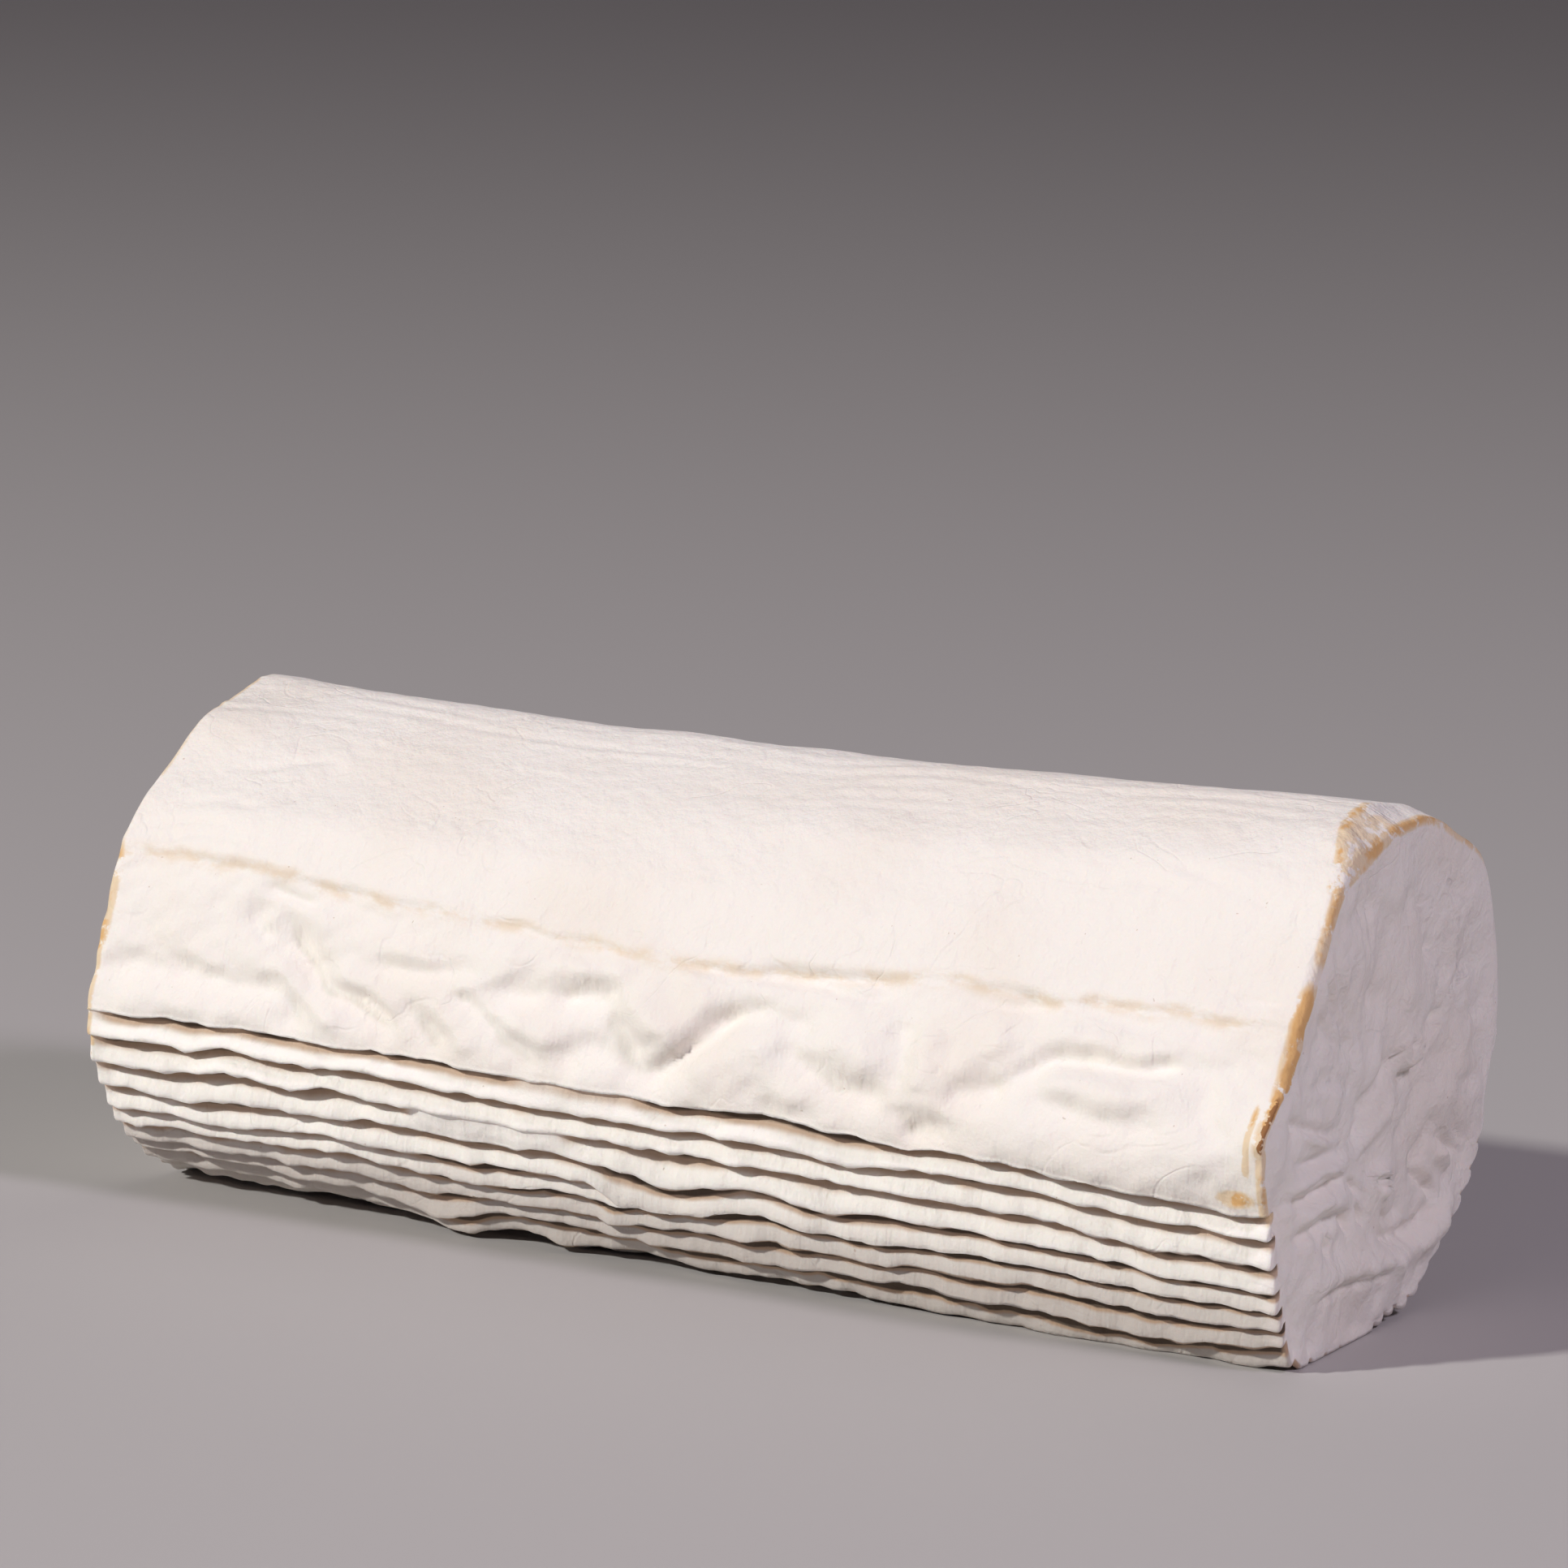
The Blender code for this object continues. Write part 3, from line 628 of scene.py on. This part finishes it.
# Folds on the right end face: points as (Y from the axis, height over the floor), half width and height.
# All are in mm.
CAP_FOLDS = [
    ([(8.2, 43), (8.4, 39.5), (11, 37.6), (14, 37.8), (16, 40)], 0.8, -0.38),
    ([(11.5, 46), (11.8, 42.0)], 2.4, 0.4),
    ([(10, 45), (10.5, 41), (13, 39.8), (14.8, 42), (14.5, 45)], 1.5, 0.7),
    ([(18.5, 43), (17.5, 39), (15, 35.5)], 0.8, -0.3),
    ([(-20, 41.8), (-12, 41), (-5, 39.2)], 0.7, -0.3),
    ([(-18, 43), (-12, 42.5)], 0.7, -0.25),
    ([(-28, 38), (-21, 35.5), (-14, 33.5), (-8, 33)], 1.0, -0.45),
    ([(-24, 36), (-20, 33.8), (-12, 32.5)], 0.9, 0.35),
    ([(-26, 31), (-18, 30.6), (-8, 30.5), (-1, 33)], 0.9, -0.4),
    ([(-26, 27.5), (-18, 28.5), (-10, 28)], 0.9, 0.4),
    ([(-27, 26), (-20, 25), (-12, 26), (-6, 25), (-2, 22)], 0.9, -0.5),
    ([(-24, 22.5), (-16, 23.5), (-9, 22.5)], 1.1, 0.4),
    ([(-25, 20), (-18, 20), (-10, 20.5), (-6, 19)], 1.0, -0.45),
    ([(1.5, 22), (2.5, 24.5), (5, 24.2), (5.4, 21.6), (3, 20.6)], 0.8, 0.55),
    ([(-7, 20), (-6.5, 17.5)], 0.9, -0.55),
    ([(-3, 20.5), (-2, 18)], 0.9, -0.55),
    ([(-15, 17.5), (-13, 15.5)], 1.1, -0.5),
    ([(5, 18), (8, 16), (12, 17.5)], 1.0, -0.4),
    ([(3, 14.5), (10, 13), (18, 13), (25, 16)], 1.3, -0.55),
    ([(-20, 11), (-8, 11.5), (6, 10), (20, 10.5), (28, 15)], 2.6, 0.7),
    ([(-18, 8.8), (-5, 9.4), (8, 8.4)], 0.9, -0.35),
    ([(17, 22), (21, 19), (24, 17)], 1.0, -0.5),
    ([(16, 22), (20, 26), (24, 30)], 1.1, -0.5),
    ([(24, 27), (29, 24), (34, 21.5)], 1.1, -0.4),
    ([(25, 24), (30, 20)], 1.6, 0.5),
    ([(29, 29), (32, 26), (36, 23)], 0.9, -0.35),
    ([(-5, 34), (2, 38), (6, 41)], 2.0, -0.5),
    ([(-8, 27), (1, 31), (8, 35)], 1.6, 0.3),
    ([(10, 27), (15, 32), (18, 37)], 1.4, -0.35),
    ([(17, 43), (22, 44.5), (26, 44), (28, 47), (33, 50.5), (39, 51)], 0.9, -0.5),
    ([(20, 40), (24, 42), (27, 45), (31, 48.5), (37, 49)], 0.9, 0.4),
    ([(22, 46), (24, 49), (27, 51.5), (32, 54), (38, 56)], 0.8, -0.4),
    ([(23, 50), (26, 54), (31, 56.5), (37, 58.5)], 0.8, -0.4),
    ([(24, 54), (27, 58), (33, 60.5)], 0.8, -0.35),
    ([(18, 56), (21, 55), (23, 52.5)], 0.9, -0.4),
    ([(10, 66), (14, 64), (18, 62)], 0.8, -0.3),
    ([(21, 69), (21.5, 66)], 0.7, -0.35),
    ([(26, 66), (29, 63), (32, 62)], 0.8, -0.35),
    ([(13, 71.5), (17, 71.8), (21, 70)], 0.8, -0.35),
    ([(-18, 58), (-14, 53), (-9, 47), (-6, 44)], 0.8, -0.3),
    ([(-15, 59), (-11, 53), (-6, 48)], 0.8, -0.25),
    ([(-19, 52), (-14, 48), (-8, 45)], 0.8, -0.25),
    ([(-4, 51), (1, 51.5), (5, 50)], 2.0, -0.3),
    ([(-12, 64), (-5, 66), (1, 65), (6, 61)], 1.6, -0.25),
    ([(30, 34), (34, 32), (39, 33)], 0.9, -0.3),
    ([(32, 41), (36, 43), (41, 42)], 1.0, -0.25),
]

# Each fold of the end face is made this many times as high.
CAP_FOLD_STRENGTH = 3.0


def right_cap_height(along, up, y, z):
    """Height of the right end's folds and wrinkles, in mm."""
    height = np.zeros(y.shape)
    for points, width, fold in CAP_FOLDS:
        drawn = [(p[0], math.degrees(p[1] / ROUND_SCALE)) for p in points]
        height += CAP_FOLD_STRENGTH * fold_height(along, up, drawn, width, fold)
    patches = smooth_step(0.5 + 0.5 * rumple(y, z, 24 * MM, 34))
    patches = patches * smooth_step((np.hypot(y, z - AXIS_HEIGHT) - 12 * MM) / (12 * MM))
    spoke = np.arctan2(z - AXIS_HEIGHT, y)
    height += 0.16 * patches * rumple(np.cos(spoke) * 28 * MM, np.sin(spoke) * 28 * MM, 4.0 * MM, 35)
    return height + 0.15 * rumple(y, z, 6 * MM, 32) + 0.04 * rumple(y, z, 2.6 * MM, 33)


def left_cap_height(along, up, y, z):
    """Height of the left end's soft dents and swellings, in mm."""
    height = np.zeros(y.shape)
    for seed in range(4):
        height -= 0.35 * bell(rumple(y, z, 26 * MM, 40 + seed) / 0.16)
    height += 0.5 * bell((up - 12) / 6) + 0.5 * bell((along + 4) / 3.0) * bell((up - 42) / 4.0)
    return height + 0.30 * rumple(y, z, 9 * MM, 36)


def cap_relief(end, y, z):
    """How far the end face stands out at a place, in metres, before the rim's own rounding."""
    drawn = right_cap_height if end > 0 else left_cap_height
    height = drawn(y / MM * end, z / MM, y, z)
    return (height + 0.45 * rumple(y, z, 17 * MM, 31)) * MM


def cap_rows(end, row_angles, row_points):
    """Rows of an end face from its rim to its middle, drawn in from the last row of the barrel."""
    at = end * HALF + 0.0 * row_angles
    even_radius = section_radius(at, row_angles) + 0.2 * MM - rim_drop(at, row_angles)
    smooth = rind_points(at, row_angles, even_radius)
    middle = smooth.mean(0)
    rows = []
    rings = RIGHT_RINGS if end > 0 else LEFT_RINGS
    for ring in range(1, rings + 1):
        inward = (ring / rings) ** 1.15
        share = 1.0 - inward
        pleated = float(smooth_step(1.0 - inward / 0.09))
        outline = row_points * pleated + smooth * (1.0 - pleated)
        points = middle + (outline - middle) * share
        rise = cap_relief(end, points[:, 1], points[:, 2]) * smooth_step(inward / 0.10)
        rise = rise + (rise.mean() - rise) * smooth_step((0.10 - share) / 0.10)
        points[:, 0] = end * (HALF + rise)
        rows.append(points)
    return np.array(rows)


def over_ends(values, outside=None):
    """Carries a mark of the barrel on over the end faces, or gives the end faces a value of their own."""
    left, right = values[:1], values[-1:]
    if outside is not None:
        left = right = values[:1] * 0 + outside
    return np.concatenate([np.repeat(left, LEFT_RINGS, 0), values, np.repeat(right, RIGHT_RINGS, 0)])


def rind_rows():
    """Every row of the skin from the middle of the left end face to the middle of the right one."""
    x = np.array(station_list())
    angles, lifts, depths = lay_skin(x)
    x = x[:, None] + 0.0 * angles
    relief = barrel_relief(x, turned(angles, 0.0))
    radius = section_radius(x, angles) + lifts + relief - rim_drop(x, angles)
    rows = rind_points(x, angles, radius)
    left = cap_rows(-1, angles[0], rows[0])[::-1]
    right = cap_rows(1, angles[-1], rows[-1])
    points = np.concatenate([left, rows, right])
    return points, over_ends(angles), over_ends(depths, 0.0), over_ends(0.0 * depths, 1.0)


def deselect():
    """Leaves nothing selected."""
    bpy.ops.object.select_all(action="DESELECT")


def right_stain(turn, from_end, end_face):
    """The right rim's stain: its line, a patch by the first groove, a strip, the bevel and its edge."""
    wide = (0.8 + 0.45 * smooth_step((turn - 4) / 6) * smooth_step((42 - turn) / 6)) * MM
    rim = np.interp(turn, RIM_STAIN[:, 0], RIM_STAIN[:, 1]) * bell((from_end - 0.4 * MM) / wide)
    patch = 1.2 * bell((turn + 17.8) / 1.8) * bell((from_end - 4.6 * MM) / (2.8 * MM))
    strip = smooth_step((turn + 14) / 4) * smooth_step((6 - turn) / 5)
    strip = strip * bell((from_end - 2.6 * MM) / (0.5 * MM))
    top = smooth_step((turn - 64) / 5) * smooth_step((106 - turn) / 8)
    edge = top * bell((from_end - bevel_length(turn)) / (0.8 * MM))
    on_bevel = smooth_step((bevel_length(turn) - from_end) / (1.0 * MM)) * (end_face < 0.5)
    return np.maximum.reduce([rim, patch, strip, edge, 0.42 * top * on_bevel])


def left_stain(turn, from_end):
    """The left rim's stain, a pale line of uneven width."""
    wide = (0.7 + 0.7 * smooth_step((turn - 2) / 4) * smooth_step((32 - turn) / 6)) * MM
    return np.interp(turn, LEFT_STAIN[:, 0], LEFT_STAIN[:, 1]) * bell((from_end - 0.4 * MM) / wide)


def rim_stain(points, turn, end_face):
    """Where the rims are stained ochre: 1 on the line of the rim, 0 away from it."""
    from_end = HALF - np.abs(points[..., 0])
    inward = np.linalg.norm(points[..., 1:] - points[:1, :1, 1:], axis=-1)
    rim_radius = np.where(points[..., 0] > 0, inward[-RIGHT_RINGS - 1], inward[LEFT_RINGS])
    from_end = np.where(end_face > 0.5, -5.0 * np.abs(rim_radius - inward), from_end)
    right = right_stain(turn, from_end, end_face)
    return np.where(points[..., 0] > 0, right, left_stain(turn, from_end))


def rind_marks(points, angles, depths, end_face):
    """Numbers for each point of the rind, for its material to read."""
    along = np.clip(points[..., 0], -HALF, HALF)
    turn = turned(angles, 0.0)
    # Painted shade: the underside, from below the front pleats round to the back of the base, is darkened.
    underside_shade = smooth_step((-35 - turn) / 16) * smooth_step((turn + 130) / 25)
    return {
        # How much painted shade each point gets: the grooves' depth and the tops of low pleats.
        "groove": depths,
        "end_face": end_face,
        "rim_stain": rim_stain(points, turn, end_face),
        "crease": bell((turn - crease_angle(along)) / 2.1) * (1 - end_face),
        # Painted light: where the pleats below the first groove are made brighter.
        "pleated": smooth_step((groove_angle(1, along) - turn + 0.3) / 0.6) * (1 - end_face),
        "underside_shade": underside_shade * (1 - end_face),
    }


def add_mark(mesh, name, values):
    """Keeps one number for each point of the mesh, with the first column again where the skin closes."""
    mark = mesh.attributes.new(name, "FLOAT", "POINT")
    closed = np.concatenate([values, values[:, :1]], 1).reshape(-1)
    mark.data.foreach_set("value", np.ascontiguousarray(closed, np.float32))


def centre_across(rind, points):
    """Puts the rind over its solid, and gives how far it went."""
    box_low, box_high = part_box("cheese_log")
    lows = points.reshape(-1, 3).min(0)
    highs = points.reshape(-1, 3).max(0)
    shift = (box_low.y + box_high.y) / 2 - (lows[1] + highs[1]) / 2
    rind.location.y = shift
    deselect()
    rind.select_set(True)
    bpy.context.view_layer.objects.active = rind
    bpy.ops.object.transform_apply(location=True, rotation=True, scale=True)
    return shift


def build_rind():
    """Rolls a skin of rind round the cheese, closes both ends and merges the seam."""
    points, angles, depths, end_face = rind_rows()
    deselect()
    bpy.ops.mesh.primitive_grid_add(x_subdivisions=points.shape[1], y_subdivisions=len(points) - 1, size=1.0)
    rind = bpy.context.object
    rind.name = "rind"
    rind.data.name = "rind"
    closed = np.concatenate([points, points[:, :1]], 1)
    rind.data.vertices.foreach_set("co", closed.reshape(-1).astype(np.float32))
    for name, values in rind_marks(points, angles, depths, end_face).items():
        add_mark(rind.data, name, values)
    bpy.ops.object.mode_set(mode="EDIT")
    bpy.ops.mesh.select_all(action="SELECT")
    bpy.ops.mesh.remove_doubles(threshold=SEAM_REACH)
    bpy.ops.mesh.normals_make_consistent(inside=False)
    bpy.ops.object.mode_set(mode="OBJECT")
    bpy.ops.object.shade_smooth()
    return rind, centre_across(rind, points)


class Finish:
    """A material, with short ways to add and join its nodes."""

    def __init__(self, name):
        self.material = bpy.data.materials.new(name)
        self.material.use_nodes = True
        self.nodes = self.material.node_tree.nodes
        self.links = self.material.node_tree.links
        self.shader = self.nodes["Principled BSDF"]

    def set(self, **values):
        """Sets inputs of the shader, named with underscores for spaces."""
        for name, value in values.items():
            self.shader.inputs[name.replace("_", " ")].default_value = value

    def node(self, kind, **values):
        """A new node with its properties."""
        made = self.nodes.new(kind)
        for key, value in values.items():
            setattr(made, key, value)
        return made

    def feed(self, socket, value):
        """Joins another node's output to an input, or sets the input to a plain value."""
        if isinstance(value, (int, float, tuple)):
            socket.default_value = value
        else:
            self.links.new(value, socket)

    def mark(self, name):
        """One of the numbers kept for each point of the mesh."""
        return self.node("ShaderNodeAttribute", attribute_name=name).outputs["Fac"]

    def math(self, operation, a, b):
        """Two values put together by one sum."""
        made = self.node("ShaderNodeMath", operation=operation)
        self.feed(made.inputs[0], a)
        self.feed(made.inputs[1], b)
        return made.outputs[0]

    def times(self, a, b):
        """The product of two values."""
        return self.math("MULTIPLY", a, b)

    def ramp(self, value, low, high):
        """0 below one value, 1 above another, and a smooth rise between."""
        made = self.node("ShaderNodeMapRange", interpolation_type="SMOOTHSTEP")
        self.feed(made.inputs["Value"], value)
        made.inputs["From Min"].default_value = low
        made.inputs["From Max"].default_value = high
        return made.outputs["Result"]

    def mix(self, factor, a, b):
        """A colour or value between two."""
        made = self.node("ShaderNodeMix", data_type="RGBA")
        self.feed(made.inputs["Factor"], factor)
        self.feed(made.inputs[6], a)
        self.feed(made.inputs[7], b)
        return made.outputs[2]

    def coordinates(self):
        """Places on the piece, from one node that every noise shares."""
        shared = self.nodes.get("coordinates") or self.node("ShaderNodeTexCoord", name="coordinates")
        return shared.outputs["Object"]

    def noise(self, scale, detail=3.0, roughness=0.55, stretch=(1.0, 1.0, 1.0), place=(0.0, 0.0, 0.0),
              distortion=0.0, turn=0.0):
        """Noise over the piece, stretched, shifted and turned about Y."""
        mapping = self.node("ShaderNodeMapping")
        mapping.inputs["Scale"].default_value = stretch
        mapping.inputs["Location"].default_value = place
        mapping.inputs["Rotation"].default_value = (0.0, math.radians(turn), 0.0)
        self.feed(mapping.inputs["Vector"], self.coordinates())
        made = self.node("ShaderNodeTexNoise")
        made.inputs["Scale"].default_value = scale
        made.inputs["Detail"].default_value = detail
        made.inputs["Roughness"].default_value = roughness
        made.inputs["Distortion"].default_value = distortion
        self.feed(made.inputs["Vector"], mapping.outputs["Vector"])
        return made.outputs["Fac"]


def rind_colour(finish):
    """White rind, brighter on the pleats as painted light, darker underneath as painted shade, with painted
    warm shade in the grooves, beige on the crease and ochre at the rims.
    """
    ramp, mix, noise, times = finish.ramp, finish.mix, finish.noise, finish.times
    colour = mix(ramp(noise(34.0, 2.0), 0.42, 0.72), WHITE, CREAM)
    # Painted light: the pleats are brightened.
    colour = mix(finish.mark("pleated"), colour, PLEAT_LIGHT)
    # Painted shade on the underside.
    colour = mix(times(finish.mark("underside_shade"), 0.72), colour, PAINTED_UNDERSIDE_SHADE)
    groove = finish.mark("groove")
    # Painted warm shade in the grooves, reaching onto the lit edge below each shadow as a painted warm glow.
    colour = mix(times(ramp(groove, 0.08, 0.65), 0.80), colour, WARM_GROOVE_SHADE)
    # Painted dark shade in the deepest grooves and under low lips.
    colour = mix(times(ramp(groove, 0.70, 0.95), 0.92), colour, DARK_GROOVE_SHADE)
    mottled = ramp(noise(330.0, 4.0, 0.65, stretch=(0.45, 1.0, 1.0)), 0.40, 0.62)
    colour = mix(times(times(finish.mark("crease"), mottled), 0.95), colour, BEIGE)
    stain = times(finish.mark("rim_stain"), ramp(noise(300.0, 4.0, 0.65), 0.31, 0.50))
    colour = mix(times(ramp(stain, 0.15, 0.50), 0.85), colour, PALE_OCHRE)
    strong = times(stain, ramp(noise(160.0, 3.0, place=(1.0, 4.0, 2.0)), 0.38, 0.56))
    colour = mix(times(ramp(strong, 0.35, 0.85), 0.9), colour, OCHRE)
    colour = mix(ramp(stain, 1.08, 1.28), colour, BROWN)
    speck = ramp(noise(900.0, 1.0, place=(7.0, 2.0, 5.0)), 0.79, 0.81)
    return mix(times(speck, 0.35), colour, BROWN)


def rind_bump(finish):
    """Fluff, fine grain, sparse lines and slanted wrinkles of the rind."""
    ramp, mix, noise, times = finish.ramp, finish.mix, finish.noise, finish.times
    fluff = noise(1500.0, 2.0, 0.7)
    grain = noise(420.0, 3.0, 0.6)
    from_middle = finish.math("SUBTRACT", noise(70.0, 2.0, 0.5, (1.0, 1.3, 1.0), distortion=0.8), 0.5)
    lines = ramp(finish.math("ABSOLUTE", from_middle, 0.0), 0.0, 0.03)
    lines = times(lines, ramp(noise(28.0, 2.0, place=(5.0, 1.0, 0.0)), 0.45, 0.6))
    rising = noise(330.0, 3.0, 0.6, (1.0, 1.0, 0.16), turn=38.0)
    falling = noise(360.0, 3.0, 0.6, (1.0, 1.0, 0.14), (2.0, 3.0, 1.0), turn=-47.0)
    patches = ramp(noise(38.0, 2.0, place=(9.0, 2.0, 4.0)), 0.40, 0.62)
    on_end = noise(230.0, 3.0, 0.6, distortion=0.6)
    wrinkles = mix(finish.mark("end_face"), mix(patches, rising, falling), on_end)
    height = times(fluff, 0.09)
    for layer, strength in ((grain, 0.32), (lines, 0.10), (wrinkles, 0.78)):
        height = finish.math("ADD", height, times(layer, strength))
    bump = finish.node("ShaderNodeBump")
    bump.inputs["Strength"].default_value = 0.7
    bump.inputs["Distance"].default_value = 0.001
    finish.feed(bump.inputs["Height"], height)
    return bump.outputs["Normal"]


def rind_material():
    """White, faintly furry rind with warm shade in its folds and ochre stains at its rims."""
    finish = Finish("rind")
    finish.set(
        Roughness=0.82,
        Subsurface_Weight=0.15,
        Subsurface_Radius=(1.0, 0.55, 0.35),
        Subsurface_Scale=0.0009,
        Sheen_Weight=0.15,
        Specular_IOR_Level=0.25,
    )
    finish.feed(finish.shader.inputs["Base Color"], rind_colour(finish))
    finish.feed(finish.shader.inputs["Normal"], rind_bump(finish))
    return finish.material


def build_floor():
    """A plain pale floor."""
    deselect()
    bpy.ops.mesh.primitive_plane_add(size=FLOOR_SIZE, location=(0, 0, -FLOOR_GAP))
    floor = bpy.context.object
    floor.name = "floor"
    finish = Finish("floor")
    finish.set(Base_Color=FLOOR_COLOUR, Roughness=0.7)
    floor.data.materials.append(finish.material)


def towards(azimuth, elevation):
    """The direction from the log at an azimuth and elevation in radians. Azimuth 0 is the front."""
    return Vector((
        math.sin(azimuth) * math.cos(elevation),
        -math.cos(azimuth) * math.cos(elevation),
        math.sin(elevation),
    ))


def area_light(name, azimuth, elevation, distance, size, power, colour):
    """A soft square light that faces the log."""
    data = bpy.data.lights.new(name, "AREA")
    data.shape = "SQUARE"
    data.size = size
    data.energy = power
    data.color = colour
    light = bpy.data.objects.new(name, data)
    bpy.context.scene.collection.objects.link(light)
    back = towards(math.radians(azimuth), math.radians(elevation))
    light.location = Vector((0, 0, AXIS_HEIGHT)) + back * distance
    light.rotation_euler = back.to_track_quat("Z", "Y").to_euler()


def build_lights():
    """A key light at the front left, weak fills at the front and the right, and a little light all round."""
    for light in LIGHTS:
        area_light(*light)
    world = bpy.data.worlds.new("studio")
    world.use_nodes = True
    world.node_tree.nodes["Background"].inputs["Color"].default_value = ROOM_COLOUR
    world.node_tree.nodes["Background"].inputs["Strength"].default_value = ROOM_STRENGTH
    bpy.context.scene.world = world
    bpy.context.scene.view_settings.view_transform = "Standard"
    bpy.context.scene.view_settings.look = "None"


def build_camera(axis_y):
    """The photograph's camera."""
    e, a, r = (math.radians(v) for v in (CAMERA_ELEVATION, CAMERA_AZIMUTH, CAMERA_ROLL))
    back = towards(a, e)
    level = Vector((math.cos(a), math.sin(a), 0.0))
    upright = back.cross(level)
    right = level * math.cos(r) + upright * math.sin(r)
    up = upright * math.cos(r) - level * math.sin(r)
    eye = Vector(CAMERA_TARGET) + Vector((0, axis_y, 0)) + back * CAMERA_DISTANCE
    data = bpy.data.cameras.new("camera")
    data.lens = LENS
    data.sensor_width = SENSOR
    data.clip_start = 0.01
    data.clip_end = 50.0
    camera = bpy.data.objects.new("camera", data)
    bpy.context.scene.collection.objects.link(camera)
    turn = Matrix((right, up, back)).transposed().to_4x4()
    camera.matrix_world = Matrix.Translation(eye) @ turn
    bpy.context.scene.camera = camera


def main():
    rind, axis_y = build_rind()
    rind.data.materials.append(rind_material())
    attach(rind, "root")
    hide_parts("cheese_log")
    build_floor()
    build_lights()
    build_camera(axis_y)


main()
